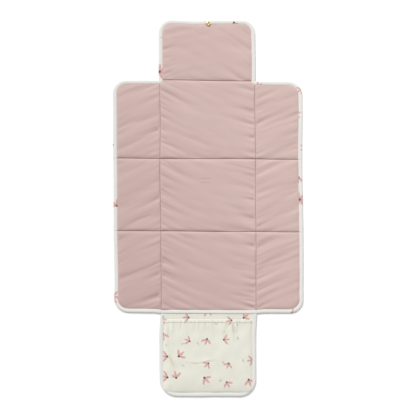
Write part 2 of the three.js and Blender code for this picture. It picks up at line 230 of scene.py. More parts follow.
def sprig_mask(tree, place, spacing, reach, petals, width, keep, seed):
    """Where a scattered print has its petals and its hearts: one motif in each cell of a loose grid.

    reach is the petals' length, width their share of it, keep the share of cells that hold a motif,
    and seed moves the grid, so that two scatters don't coincide."""
    corner = (seed, seed * 0.7, 0)
    moved = add_node(tree, "Mapping", {"Vector": place, "Location": corner, "Scale": (1, 1, 0)})
    cells = add_node(tree, "TexVoronoi", {"Vector": moved, "Scale": 1 / spacing, "Randomness": 0.75},
                     voronoi_dimensions="2D")
    offset = add_node(tree, "VectorMath", (moved, cells.outputs["Position"]), operation="SUBTRACT")
    parts = add_node(tree, "SeparateXYZ", (offset,))
    chance = add_node(tree, "SeparateColor", (cells.outputs["Color"],))
    # The paint's edge is ragged, and no two blossoms are quite the same size.
    ragged = add_node(tree, "TexNoise", {"Vector": place, "Scale": 420.0, "Detail": 2.0})
    ragged = add_node(tree, "Math", (ragged, 0.5), operation="SUBTRACT")
    ragged = add_node(tree, "Math", (ragged, reach * 0.22), operation="MULTIPLY")
    radius = add_node(tree, "VectorMath", (offset,), operation="LENGTH").outputs["Value"]
    radius = add_node(tree, "Math", (radius, ragged), operation="ADD")
    growth = add_node(tree, "Math", (chance.outputs[1], 0.45), operation="MULTIPLY")
    growth = add_node(tree, "Math", (growth, 0.7), operation="ADD")
    radius = add_node(tree, "Math", (radius, growth), operation="DIVIDE")
    spin = add_node(tree, "Math", (chance.outputs[0], 2 * math.pi), operation="MULTIPLY")
    angle = add_node(tree, "Math", (parts.outputs[1], parts.outputs[0]), operation="ARCTAN2")
    angle = add_node(tree, "Math", (angle, spin), operation="ADD")
    # The angle to the nearest petal's middle line, then a long narrow petal about it.
    share = 2 * math.pi / petals
    turn = add_node(tree, "Math", (angle, share), operation="FLOORED_MODULO")
    turn = add_node(tree, "Math", (turn, share / 2), operation="SUBTRACT")
    along = add_node(tree, "Math", (turn,), operation="COSINE")
    along = add_node(tree, "Math", (radius, along), operation="MULTIPLY")
    across = add_node(tree, "Math", (turn,), operation="SINE")
    across = add_node(tree, "Math", (radius, across), operation="MULTIPLY")
    across = add_node(tree, "Math", (across,), operation="ABSOLUTE")
    along = add_node(tree, "Math", (along, reach * 0.55), operation="SUBTRACT")
    along = add_node(tree, "Math", (along, reach * 0.47), operation="DIVIDE")
    along = add_node(tree, "Math", (along, 2.0), operation="POWER")
    across = add_node(tree, "Math", (across, reach * width), operation="DIVIDE")
    across = add_node(tree, "Math", (across, 2.0), operation="POWER")
    oval = add_node(tree, "Math", (along, across), operation="ADD")
    petal = add_node(tree, "Math", (oval, 1.0), operation="LESS_THAN")
    # Seen from the side, a flower has only the petals of a fan.
    fan = add_node(tree, "Math", (angle, 2 * math.pi), operation="FLOORED_MODULO")
    fan = add_node(tree, "Math", (fan, 2.5 * share), operation="SUBTRACT")
    fan = add_node(tree, "Math", (fan,), operation="ABSOLUTE")
    fan = add_node(tree, "Math", (fan, 1.5 * share), operation="LESS_THAN")
    whole = add_node(tree, "Math", (chance.outputs[1], 0.78), operation="GREATER_THAN")
    whole = add_node(tree, "Math", (fan, whole), operation="MAXIMUM")
    petal = add_node(tree, "Math", (petal, whole), operation="MULTIPLY")
    shown = add_node(tree, "Math", (chance.outputs[2], keep), operation="LESS_THAN")
    heart = add_node(tree, "Math", (radius, reach * 0.15), operation="LESS_THAN")
    petal = add_node(tree, "Math", (petal, shown), operation="MULTIPLY")
    heart = add_node(tree, "Math", (heart, shown), operation="MULTIPLY")
    # Brush streaks run along each petal, and the paint is thinner towards its tip.
    turn = add_node(tree, "Math", (turn, 14.0), operation="MULTIPLY")
    outward = add_node(tree, "Math", (radius, 120.0), operation="MULTIPLY")
    streak = add_node(tree, "CombineXYZ", (turn, outward))
    streak = add_node(tree, "TexNoise", {"Vector": streak, "Scale": 1.0, "Detail": 2.0})
    paint = add_node(tree, "Math", (radius, reach * 1.5), operation="DIVIDE")
    paint = add_node(tree, "Math", (1.35, paint), operation="SUBTRACT")
    return petal, heart, add_node(tree, "Math", (streak, paint), operation="MULTIPLY")


def printed_cotton(name, base, shade, spacing, seed):
    """Cream cotton with a screen print of loose blossoms and small grey-green sprigs, and painted shade where
    a piece's attribute marks its creases.
    """
    tree, shader, place, colour = cotton(name, base, shade, 0.7 * MM, 0.92, 0.12)
    crease = add_node(tree, "Attribute", attribute_name="crease").outputs["Fac"]
    petal, heart, streak = sprig_mask(tree, place, spacing, 18.5 * MM, 7, 0.16, 0.9, seed)
    leaf = sprig_mask(tree, place, 0.9 * spacing, 6 * MM, 6, 0.17, 0.55, seed * 3)[0]
    inks_and_shade = {name: linear(code) for name, code in PRINT_AND_SHADE.items()}
    blossom = add_node(tree, "Mix", {0: streak, 6: inks_and_shade["petal_light"], 7: inks_and_shade["petal_dark"]},
                       data_type="RGBA").outputs[2]
    # Each ink covers what is under it by its own share; along a crease the colour is painted shade, not ink.
    layers = ((crease, 1.0, inks_and_shade["crease"]), (leaf, 0.7, inks_and_shade["leaf"]), (petal, 0.85, blossom),
              (heart, 0.95, inks_and_shade["heart"]))
    for mask, cover, overlay in layers:
        share = add_node(tree, "Math", (mask, cover), operation="MULTIPLY")
        colour = add_node(tree, "Mix", {0: share, 6: colour, 7: overlay}, data_type="RGBA").outputs[2]
    fill(tree, shader, {"Base Color": colour})


def plied_thread(name, base):
    """Spun polyester sewing thread: a soft gloss that breaks up along its twist."""
    tree, shader, place = new_material(name)
    twist = add_node(tree, "TexNoise", {"Vector": place, "Scale": 2500.0, "Detail": 1.0})
    colour = add_node(tree, "Mix", {0: twist, 6: linear(base), 7: [0.8 * c for c in linear(base)]},
                      data_type="RGBA").outputs[2]
    fill(tree, shader, {"Roughness": 0.55, "Base Color": colour})


def polished_brass(name, base):
    """Pressed and polished pale brass: mirror-like with fine rub marks that blur the highlight."""
    tree, shader, place = new_material(name)
    rub = add_node(tree, "TexNoise", {"Vector": place, "Scale": 1400.0, "Detail": 3.0})
    roughness = add_node(tree, "MapRange", {"Value": rub, "To Min": 0.24, "To Max": 0.38})
    colour = add_node(tree, "Mix", {0: rub, 6: linear(base), 7: [0.82 * c for c in linear(base)]},
                      data_type="RGBA").outputs[2]
    fill(tree, shader, {"Metallic": 1.0, "Roughness": roughness, "Base Color": colour})


def ribbed_webbing(name, light, dark):
    """Knitted elastic tape: white ribs along its length."""
    tree, shader, place = new_material(name)
    parts = add_node(tree, "SeparateXYZ", (place,))
    rib = add_node(tree, "Math", (parts.outputs[1], 2 * math.pi / (1.1 * MM)), operation="MULTIPLY")
    rib = add_node(tree, "Math", (rib,), operation="SINE")
    bump = add_node(tree, "Bump", {"Height": rib, "Strength": 0.6, "Distance": 0.1 * MM})
    share = add_node(tree, "Math", (rib, 1.0), operation="ADD")
    share = add_node(tree, "Math", (share, 0.25), operation="MULTIPLY")
    colour = add_node(tree, "Mix", {0: share, 6: linear(light), 7: linear(dark)}, data_type="RGBA").outputs[2]
    fill(tree, shader, {"Roughness": 0.8, "Normal": bump, "Base Color": colour})


FACE_THREAD = 0.8 * MM   # thread pitch of the pink cotton, drawn coarser than it is so that it shows
# Print inks, and the colour of the painted shade along the pocket's creases.
PRINT_AND_SHADE = {"petal_light": "#dcb4ae", "petal_dark": "#b4706e", "leaf": "#94a79c", "heart": "#4e2b35",
         "crease": "#bdb88e"}


def finishes():
    """Every finish of the mat, made once and shared by its pieces."""
    if "dusty_pink_cotton" not in bpy.data.materials:
        colours = bpy.context.scene.changing_mat_colours
        dusty_pink_cotton(colours)
        # Painted shade for the bottom of a seam: a darker, redder pink with no sheen.
        cotton("pink_cotton_in_the_seam", linear("#a87872"), linear("#966660"), FACE_THREAD, 0.95, 0.0)
        printed_cotton("blossom_print_cotton", colours.back, colours.back_shade, 57 * MM, 0.031)
        printed_cotton("blossom_print_bias_tape", linear("#dfded9"), linear("#d5d3cd"), 84 * MM, 0.052)
        plied_thread("rose_thread", "#8f605a")
        plied_thread("cream_thread", "#e2e0d6")
        polished_brass("pale_brass", "#f6dea2")
        ribbed_webbing("knitted_elastic", "#f0efe9", "#cfcdc4")
    return bpy.data.materials


# ---- Mesh helpers ------------------------------------------------------------------------------

def publish(name, bm, body, materials, rounded=False):
    """Makes the finished mesh an object that rides on a body; a rounded one gets one level of subdivision."""
    mesh = bpy.data.meshes.new(name)
    bm.to_mesh(mesh)
    bm.free()
    for material in materials:
        mesh.materials.append(finishes()[material])
    for polygon in mesh.polygons:
        polygon.use_smooth = True
    piece = bpy.data.objects.new(name, mesh)
    bpy.context.collection.objects.link(piece)
    if body:
        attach(piece, body)
    if rounded:
        smoothing = piece.modifiers.new("Subdivision", "SUBSURF")
        smoothing.levels = smoothing.render_levels = 1
    return piece


def grid(bm, left, right, low, high, step, level=0.0, step_y=None):
    """A flat grid over a rectangle, with cells of about the given step."""
    across = max(2, round((right - left) / step))
    along = max(2, round((high - low) / (step_y or step)))
    place = Matrix.Translation(((left + right) / 2, (low + high) / 2, level))
    size = Matrix.Diagonal((right - left, high - low, 1, 1))
    made = bmesh.ops.create_grid(bm, x_segments=across, y_segments=along, size=0.5, matrix=place @ size)
    return made["verts"]


def round_corner(verts, x, y, side_x, side_y, radius):
    """Presses the square corner at x, y into a round one. side_x and side_y point from it to the middle."""
    centre = Vector((x + side_x * radius, y + side_y * radius))
    for vert in verts:
        u = (centre.x - vert.co.x) * side_x / radius
        v = (centre.y - vert.co.y) * side_y / radius
        if u > 0 and v > 0:
            u, v = min(u, 1), min(v, 1)
            vert.co.x = centre.x - side_x * radius * u * math.sqrt(1 - v * v / 2)
            vert.co.y = centre.y - side_y * radius * v * math.sqrt(1 - u * u / 2)


def cut_lines(bm, geom_verts, lines):
    """Adds mesh lines across a patch at each (point, direction)."""
    for point, normal in lines:
        faces = {face for vert in geom_verts if vert.is_valid for face in vert.link_faces}
        edges = {edge for face in faces for edge in face.edges}
        verts = {vert for face in faces for vert in face.verts}
        bmesh.ops.bisect_plane(bm, geom=[*verts, *edges, *faces], plane_co=point, plane_no=normal, dist=1e-6)


def stitch(bm, place, heading, length, thickness=0.55 * MM, index=0):
    """One sunk stitch: a slim rounded bead of thread."""
    turn = Matrix.Rotation(heading, 4, "Z")
    size = Matrix.Diagonal((length / 2, thickness / 2, thickness / 2, 1))
    made = bmesh.ops.create_uvsphere(
        bm, u_segments=5, v_segments=4, radius=1, matrix=Matrix.Translation(place) @ turn @ size
        @ Matrix.Rotation(math.pi / 2, 4, "Y"))
    for face in {face for vert in made["verts"] for face in vert.link_faces}:
        face.material_index = index


def give_thickness(bm, thickness):
    """Gives a sheet of cloth its wall, with the faces outwards."""
    bmesh.ops.solidify(bm, geom=bm.faces[:], thickness=thickness)
    bmesh.ops.recalc_face_normals(bm, faces=bm.faces[:])


def wander(bm):
    """Gives every point of a soft piece the slow drift of hand-sewn cloth."""
    for vert in bm.verts:
        vert.co = drift(vert.co)


# ---- The quilted pads ----------------------------------------------------------------------------

TUCK = 5 * MM           # how far a pad's rim lies inside the tape's outer edge
SEAM_LEVEL = 1.5 * MM   # the stitched-down bottom of a seam across the mat
LONG_SEAM_LEVEL = 3.4 * MM   # the softer seams that run along the mat
RIM_LEVEL = 2.6 * MM    # where the pad goes under the tape
STUD_DISH = 2.6 * MM    # how far the back is drawn in round the stud
STUD_COVER = 5.45 * MM  # the face over the stud and its patch
PUFF = 2.6 * MM         # the most that a pad swells above the long seams
SHOULDER = (SEAM_X + 2.5 * MM, FLAP_Y + 1.5 * MM)   # the middle of the tape's turn between flap and wing
SHOULDER_RADIUS = 1.5 * MM   # its outer edge


def edge_fall(distance, reach):
    """1 at a seam, 0 where the pad is full; a round shoulder between."""
    t = min(1, max(0, distance / reach))
    return 1 - math.sqrt(1 - (1 - t) ** 2)


def bound_distance(panel, x, y):
    """How far a point is inside the bound outline, round the corners and the shoulders too."""
    sides = {"l": x - panel.left, "r": panel.right - x, "b": y - panel.low, "t": panel.high - y}
    reach = min([1.0] + [sides[side] for side in panel.bound])
    for side_x, side_y in (("l", "b"), ("l", "t"), ("r", "b"), ("r", "t")):
        if side_x in panel.bound and side_y in panel.bound:
            out_x = panel.corner - sides[side_x]
            out_y = panel.corner - sides[side_y]
            if out_x > 0 and out_y > 0:
                reach = min(reach, panel.corner - math.hypot(out_x, out_y))
    shoulder = math.hypot(abs(x) - SHOULDER[0], y - SHOULDER[1]) - SHOULDER_RADIUS
    return min(reach, shoulder)


def held_distance(panel, x, y):
    """How far a point is from where the cloth is held: a seam or the tape's inner edge."""
    free = [d for side, d in (("l", x - panel.left), ("r", panel.right - x), ("b", y - panel.low),
                              ("t", panel.high - y)) if side not in panel.bound]
    return min([bound_distance(panel, x, y) - TAPE_WIDTH + 1 * MM] + free)


def pad_height(panel, x, y, full):
    """Height of the pad's upper side before the cloth is let go."""
    drops = [(full - RIM_LEVEL) * edge_fall(bound_distance(panel, x, y) - TAPE_WIDTH + 0.5 * MM, 14 * MM)]
    for side, distance in (("l", x - panel.left), ("r", panel.right - x), ("b", y - panel.low),
                           ("t", panel.high - y)):
        if side not in panel.bound:
            level, reach = (LONG_SEAM_LEVEL, 9 * MM) if side in "lr" else (SEAM_LEVEL, 13 * MM)
            drops.append((full - level) * edge_fall(distance, reach))
    return full - max(drops)


def seam_floor(panel, x, y):
    """The least height of a pad's upper side: it never sinks through the cloth of a seam beside it."""
    level = 1.0 * MM
    if (min(x - panel.left, panel.right - x) < 6 * MM and panel.high - panel.low < 0.23
            and abs(abs(x) - SEAM_X) < 6 * MM):
        level = long_seam_height(panel, y) + 0.15 * MM
    return level


def long_seam_height(panel, y):
    """Height of a seam along the mat, which dips where a seam across the mat or the tape ends it."""
    height = LONG_SEAM_LEVEL
    for side, distance in (("b", y - panel.low), ("t", panel.high - y)):
        if side in panel.bound:
            height = min(height, LONG_SEAM_LEVEL - (LONG_SEAM_LEVEL - RIM_LEVEL)
                         * edge_fall(distance - TAPE_WIDTH, 14 * MM))
        else:
            height = min(height, LONG_SEAM_LEVEL - (LONG_SEAM_LEVEL - SEAM_LEVEL)
                         * edge_fall(distance, 13 * MM))
    return height


def pad_patch(bm, panel, step):
    """The flat cloth of one cell, with rounded bound corners and close lines beside its seams."""
    gap = {"l": 0.25 * MM, "r": 0.25 * MM, "b": 0.5 * MM, "t": 0.5 * MM}
    inset = {side: TUCK if side in panel.bound else gap[side] for side in "lrbt"}
    left, right = panel.left + inset["l"], panel.right - inset["r"]
    low, high = panel.low + inset["b"], panel.high - inset["t"]
    verts = grid(bm, left, right, low, high, step)
    close = 1.3 * MM
    lines = {"l": ((left + close, 0, 0), (1, 0, 0)), "r": ((right - close, 0, 0), (1, 0, 0)),
             "b": ((0, low + close, 0), (0, 1, 0)), "t": ((0, high - close, 0), (0, 1, 0))}
    cut_lines(bm, verts, [lines[side] for side in "lrbt" if side not in panel.bound])
    faces = {face for vert in verts for face in vert.link_faces}
    queue = list(faces)
    while queue:
        face = queue.pop()
        for edge in face.edges:
            for other in edge.link_faces:
                if other not in faces:
                    faces.add(other)
                    queue.append(other)
    verts = {vert for face in faces for vert in face.verts}
    radius = panel.corner - TUCK
    for side_x, x, way_x in (("l", left, 1), ("r", right, -1)):
        for side_y, y, way_y in (("b", low, 1), ("t", high, -1)):
            if side_x in panel.bound and side_y in panel.bound:
                round_corner(verts, x, y, way_x, way_y, radius)
    return faces


def settle(piece, held, slack, pressure, frames):
    """Lets the cloth find its folds: the held points stay, the rest is a little too long and swells."""
    group = piece.vertex_groups.new(name="held")
    for index, weight in held.items():
        group.add([index], weight, "REPLACE")
    piece.shape_key_add(name="Basis")
    key = piece.shape_key_add(name="cut_length")
    for index, place in enumerate(slack):
        key.data[index].co = place
    cloth = piece.modifiers.new("Cloth", "CLOTH")
    settings = cloth.settings
    settings.quality = 6
    settings.mass = 0.15
    settings.tension_stiffness = settings.compression_stiffness = 25
    settings.shear_stiffness = 12
    settings.bending_stiffness = 0.35
    settings.air_damping = 2
    settings.vertex_group_mass = group.name
    settings.pin_stiffness = 1.0
    settings.rest_shape_key = key
    settings.use_pressure = True
    settings.uniform_pressure_force = pressure
    settings.effector_weights.gravity = 0
    cloth.point_cache.frame_start = 1
    cloth.point_cache.frame_end = frames
    scene = bpy.context.scene
    for number in range(1, frames + 1):
        scene.frame_set(number)
    shape = piece.evaluated_get(bpy.context.evaluated_depsgraph_get()).to_mesh()
    places = [vert.co.copy() for vert in shape.vertices]
    piece.evaluated_get(bpy.context.evaluated_depsgraph_get()).to_mesh_clear()
    piece.modifiers.remove(cloth)
    piece.shape_key_clear()
    scene.frame_set(1)
    return places


def relax(bm, held, slack, pressure, frames, most):
    """Simulates a patch of cloth, and moves each of its points by what it moved there, up to a limit."""
    mesh = bpy.data.meshes.new("loose_cloth")
    bm.to_mesh(mesh)
    cloth = bpy.data.objects.new("loose_cloth", mesh)
    bpy.context.collection.objects.link(cloth)
    places = settle(cloth, held, slack, pressure, frames)
    for vert, place in zip(bm.verts, places):
        shift = place - vert.co
        if shift.length > most:
            shift *= most / shift.length
        vert.co += shift
    bpy.data.objects.remove(cloth)


# How the cloth is drawn at a panel's left and right side: the slope of its wrinkles and their height.
DRAWN = {"flap": ((-0.35, 1.7), (-0.8, 1.2)), "left": ((-0.6, 0.9), (0.45, 1.3)),
         "right": ((-0.5, 1.3), (0.4, 1.0)), "middle": ((0.55, 2.4), (-0.25, 2.0))}


def wrinkle(kind, panel, x, y):
    """Height of the wrinkles that run in from both sides and fade towards the middle."""
    total = 0.0
    for number, (distance, (slope, size)) in enumerate(zip((x - panel.left, panel.right - x), DRAWN[kind])):
        line = y + slope * distance * (1 - distance / 0.6)
        seed = panel.left * 31 + number * 7.3
        wave = noise.noise(Vector((line * 62, distance * 7, seed)))
        sharp = 1 - 3 * abs(noise.noise(Vector((line * 88, distance * 11, seed + 4))))
        total += size * (1.4 * wave * math.exp(-distance / 0.085) + 0.8 * sharp * math.exp(-distance / 0.028))
    lean = -0.5 if kind in ("left", "right") else 0.6
    broad = noise.noise(Vector(((y + lean * x) * 34, (x - lean * y) * 8, panel.low * 9)))
    return (total + 1.5 * broad) * MM


def soften(height, low, high):
    """Keeps a height between two limits without a hard edge."""
    middle, half = (low + high) / 2, (high - low) / 2
    return middle + half * math.tanh((height - middle) / half)


class MAT_OT_pads(bpy.types.Operator):
    """Makes the quilted pads: simulated pink tops closed by their printed backs"""
    bl_idname = "mat.pads"
    bl_label = "Quilted pads"

    def execute(self, context):
        sizes = context.scene.changing_mat_sizes
        panels = mat_panels(sizes.mat_corner, sizes.flap_corner)
        bm = bmesh.new()
        cell_of = bm.faces.layers.int.new("cell")
        names = list(panels)
        held = {}
        for number, name in enumerate(names):
            for face in pad_patch(bm, panels[name], sizes.cloth_step):
                face[cell_of] = number
        bm.verts.index_update()
        panel_of, kind_of = {}, {}
        for face in bm.faces:
            name = names[face[cell_of]]
            kind = "flap" if name == "flap" else name.split("_")[-1] if "_" in name else "middle"
            for vert in face.verts:
                panel_of[vert.index] = panels[name]
                kind_of[vert.index] = kind
        bm.verts.ensure_lookup_table()
        slack = [None] * len(bm.verts)
        for vert in bm.verts:
            panel = panel_of[vert.index]
            x, y = vert.co.x, vert.co.y
            reach = held_distance(panel, x, y)
            rise = pad_height(panel, x, y, sizes.pad_height)
            ease = ramp(reach, 0, 6 * MM)
            vert.co.z = rise + ease * sizes.wrinkles * wrinkle(kind_of[vert.index], panel, x, y)
            middle = Vector(((panel.left + panel.right) / 2, (panel.low + panel.high) / 2))
            near = min(x - panel.left, panel.right - x)
            extra = sizes.slack_along * (0.35 + 0.65 * math.exp(-near / (35 * MM)))
            lean = sizes.slack_lean if x < 0 else -sizes.slack_lean
            slack[vert.index] = Vector((
                middle.x + (x - middle.x) * (1 + sizes.slack_across),
                middle.y + (y - middle.y) * (1 + extra) + lean * (x - middle.x), vert.co.z))
            held[vert.index] = 1.0 if reach < 0.6 * MM else sizes.hold
        relax(bm, held, slack, sizes.pressure, frames=18, most=5 * MM)
        for vert in bm.verts:
            if vert.co.z > LONG_SEAM_LEVEL:
                vert.co.z = LONG_SEAM_LEVEL + soften(vert.co.z - LONG_SEAM_LEVEL, -PUFF, PUFF)
            vert.co.z = max(seam_floor(panel_of[vert.index], vert.co.x, vert.co.y), vert.co.z)
        for number, name in enumerate(names):
            self.close_pad(bm, number, name, panels[name])
        bm.free()
        return {"FINISHED"}

    def close_pad(self, whole, number, name, panel):
        """One cell's top, closed by a back that lies on the ground."""
        bm = whole.copy()
        cell_of = bm.faces.layers.int["cell"]
        others = [face for face in bm.faces if face[cell_of] != number]
        bmesh.ops.delete(bm, geom=others, context="FACES")
        made = bmesh.ops.duplicate(bm, geom=bm.verts[:] + bm.edges[:] + bm.faces[:])
        copies = {item for item in made["geom"] if isinstance(item, bmesh.types.BMVert)}
        for vert in copies:
            reach = held_distance(panel, vert.co.x, vert.co.y)
            lift = 1.3 * MM * edge_fall(reach, 9 * MM) if reach < 9 * MM else 0
            vert.co.z = 0.15 * MM + lift
            if name == "row2":
                away = math.hypot(vert.co.x - STUD[0], vert.co.y - STUD[1])
                vert.co.z += STUD_DISH * min(1, max(0, (10 * MM - away) / (3 * MM)))
        backs = [item for item in made["geom"] if isinstance(item, bmesh.types.BMFace)]
        for face in backs:
            face.material_index = 1
        bmesh.ops.reverse_faces(bm, faces=backs)
        rims = [edge for edge in bm.edges if edge.is_boundary]
        bmesh.ops.bridge_loops(bm, edges=rims)
        if name == "row2":
            for vert in bm.verts:
                away = math.hypot(vert.co.x - STUD[0], vert.co.y - STUD[1])
                if vert not in copies:
                    cover = 1 - ramp(away, 8 * MM, 30 * MM)
                    vert.co.z += cover * (STUD_COVER - vert.co.z)
        wander(bm)
        cloths = ["dusty_pink_cotton", "blossom_print_cotton"]
        pad = publish(f"{name}_pad", bm, name, cloths, rounded=True)
        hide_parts(f"{name}_face", f"{name}_wadding", f"{name}_back")


# ---- Binding tape ----------------------------------------------------------------------------------

def tape_section(width):
    """The folded tape's section, from its outer edge inwards: (distance in, height)."""
    return [(d * width, z * MM) for d, z in (
        (0.0, 1.7), (0.03, 2.7), (0.11, 3.5), (0.28, 4.0), (0.55, 4.1), (0.78, 3.8), (0.93, 3.4), (1.0, 2.9),
        (0.99, 2.4), (0.9, 0.5), (0.7, 0.1), (0.3, 0.05), (0.1, 0.15), (0.02, 0.7))]


def section_loop(bm, origin, inward, section):
    """Sets the section up at a place, closed by a face, and gives its edges."""
    ring = [bm.verts.new(origin + inward * d + Vector((0, 0, z))) for d, z in section]
    loop = [bm.edges.new((ring[i], ring[(i + 1) % len(ring)])) for i in range(len(ring))]
    bmesh.ops.contextual_create(bm, geom=loop)
    return loop


def tape_routes(sizes):
    """Where each length of tape starts, its heading in quarter turns, and its runs and turns."""
    turn = sizes.mat_corner
    flap_turn = sizes.flap_corner
    pocket_turn = sizes.pocket_corner
    wing = EDGE_X - SEAM_X
    flap_side = TOP_Y - FLAP_Y - flap_turn
    pocket_side = POCKET_Y - BOTTOM_Y - pocket_turn
    return {
        "flap": ((END_X, FLAP_Y), 1, [flap_side, (flap_turn, 1), 2 * (END_X - flap_turn),
                                      (flap_turn, 1), flap_side]),
        "row1_right": ((EDGE_X, ROW2_Y), 1, [FLAP_Y - ROW2_Y - turn, (turn, 1), wing - turn]),
        "row1_left": ((-SEAM_X, FLAP_Y), 2, [wing - turn, (turn, 1), FLAP_Y - ROW2_Y - turn]),
        "row2_right": ((EDGE_X, ROW3_Y), 1, [ROW2_Y - ROW3_Y]),
        "row2_left": ((-EDGE_X, ROW2_Y), 3, [ROW2_Y - ROW3_Y]),
        "row3_left": ((-EDGE_X, ROW3_Y), 3, [ROW3_Y - POCKET_Y - turn, (turn, 1), wing - turn]),
        "row3": ((-SEAM_X, POCKET_Y), 0, [2 * SEAM_X]),
        "row3_right": ((SEAM_X, POCKET_Y), 0, [wing - turn, (turn, 1), ROW3_Y - POCKET_Y - turn]),
        "pocket": ((-END_X, POCKET_Y), 3, [pocket_side, (pocket_turn, 1), 2 * (END_X - pocket_turn),
                                           (pocket_turn, 1), pocket_side]),
    }


def sweep_tape(bm, start, quarter, moves, section, step):
    """Draws the tape's section along its runs and turns, and closes both ends."""
    heading = quarter * math.pi / 2
    inward = Vector((-math.sin(heading), math.cos(heading), 0))
    origin = Vector((*start, 0))
    loop = section_loop(bm, origin, inward, section)
    for move in moves:
        if isinstance(move, tuple):
            radius, way = move
            inward = Vector((-math.sin(heading), math.cos(heading), 0))
            centre = origin + inward * radius
            made = bmesh.ops.spin(bm, geom=loop, cent=centre, axis=(0, 0, 1), dvec=(0, 0, 0),
                                  angle=way * math.pi / 2, steps=10, use_duplicate=False)
            loop = [item for item in made["geom_last"] if isinstance(item, bmesh.types.BMEdge)]
            heading += way * math.pi / 2
            outward = Vector((math.sin(heading), -math.cos(heading), 0))
            origin = centre + outward * radius
        else:
            ahead = Vector((math.cos(heading), math.sin(heading), 0))
            count = max(1, round(move / step))
            close = 0.4 * MM   # a ring near each end keeps the end square under the smoothing
            places = [close] + [move * i / count for i in range(1, count)] + [move - close, move]
            for before, after in zip([0, *places], places):
                made = bmesh.ops.extrude_edge_only(bm, edges=loop)["geom"]
                fresh = [item for item in made if isinstance(item, bmesh.types.BMVert)]
                bmesh.ops.translate(bm, verts=fresh, vec=ahead * (after - before))
                news = set(fresh)
                loop = [edge for edge in made if isinstance(edge, bmesh.types.BMEdge)
                        and edge.verts[0] in news and edge.verts[1] in news]
            origin = origin + ahead * move
    bmesh.ops.contextual_create(bm, geom=loop)
    bmesh.ops.recalc_face_normals(bm, faces=bm.faces[:])


def along_tape(start, quarter, moves, inset, pitch):
    """Evenly spaced places and headings along a line at a distance inside the tape's outer edge."""
    heading = quarter * math.pi / 2
    origin = Vector((*start, 0))
    left_over = pitch / 2
    for move in moves:
        inward = Vector((-math.sin(heading), math.cos(heading), 0))
        if isinstance(move, tuple):
            radius = move[0]
            centre = origin + inward * radius
            arc = (radius - inset) * math.pi / 2
            while left_over < arc:
                now = heading + left_over / (radius - inset)
                outward = Vector((math.sin(now), -math.cos(now), 0))
                yield centre + outward * (radius - inset), now
                left_over += pitch
            left_over -= arc
            heading += math.pi / 2
            origin = centre + Vector((math.sin(heading), -math.cos(heading), 0)) * radius
        else:
            ahead = Vector((math.cos(heading), math.sin(heading), 0))
            while left_over < move:
                yield origin + ahead * left_over + inward * inset, heading
                left_over += pitch
            left_over -= move
            origin = origin + ahead * move


class MAT_OT_tapes(bpy.types.Operator):
    """Makes the folded binding tape of every panel, with the stitching along its inner edge"""
    bl_idname = "mat.tapes"
    bl_label = "Binding tape"

    def execute(self, context):
        sizes = context.scene.changing_mat_sizes
        for name, (start, quarter, moves) in tape_routes(sizes).items():
            bm = bmesh.new()
            sweep_tape(bm, start, quarter, moves, tape_section(TAPE_WIDTH), 6 * MM)
            inset = TAPE_WIDTH - 1.8 * MM
            for place, heading in along_tape(start, quarter, moves, inset, sizes.stitch_pitch):
                stitch(bm, place + Vector((0, 0, 3.72 * MM)), heading, sizes.stitch_length, index=1)
            self.finish_tape(bm, name)
        for name, side in (("left", -1), ("right", 1)):
            self.shoulder(side, f"shoulder_{name}_tape")
        return {"FINISHED"}

    def finish_tape(self, bm, name):
        """Lets the tape swell unevenly, as a folded bias strip does."""
        for vert in bm.verts:
            swell = noise.noise(Vector((vert.co.x * 28, vert.co.y * 28, 1.0)))
            if vert.co.z > 2 * MM:
                vert.co.z += 0.35 * swell * MM
        wander(bm)
        finish = ["blossom_print_bias_tape", "cream_thread"]
        tape = publish(f"{name}_tape", bm, name, finish, rounded=True)
        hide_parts(f"{name}_binding")

    def shoulder(self, side, name):
        """The tape turns the inner corner between the flap and a wing."""
        bm = bmesh.new()
        centre = Vector((side * SHOULDER[0], SHOULDER[1], 0))
        section = tape_section(TAPE_WIDTH)
        inward = Vector((-side, 0, 0))
        origin = centre + inward * SHOULDER_RADIUS + Vector((0, 0, 0.05 * MM))
        loop = section_loop(bm, origin, inward, section)
        made = bmesh.ops.spin(bm, geom=loop, cent=centre, axis=(0, 0, 1), dvec=(0, 0, 0),
                              angle=side * math.pi / 2, steps=8, use_duplicate=False)
        loop = [item for item in made["geom_last"] if isinstance(item, bmesh.types.BMEdge)]
        bmesh.ops.contextual_create(bm, geom=loop)
        bmesh.ops.recalc_face_normals(bm, faces=bm.faces[:])
        wander(bm)
        publish(name, bm, "row1", ["blossom_print_bias_tape"], rounded=True)


# ---- Seams and folds -------------------------------------------------------------------------------

SEAM_FINISHES = ["dusty_pink_cotton", "blossom_print_cotton", "rose_thread", "pink_cotton_in_the_seam"]
SEAM_HALF = 5 * MM   # a seam's strip of cloth, to each side of the stitching
ROLL = 1.2 * MM      # the part of it, to each side, that rolls when the mat folds


def gather_middle(value, middle):
    """Moves a strip's mesh lines towards its middle, where it bends."""
    t = (value - middle) / SEAM_HALF
    return middle + SEAM_HALF * (0.25 * t + 0.75 * t ** 3)


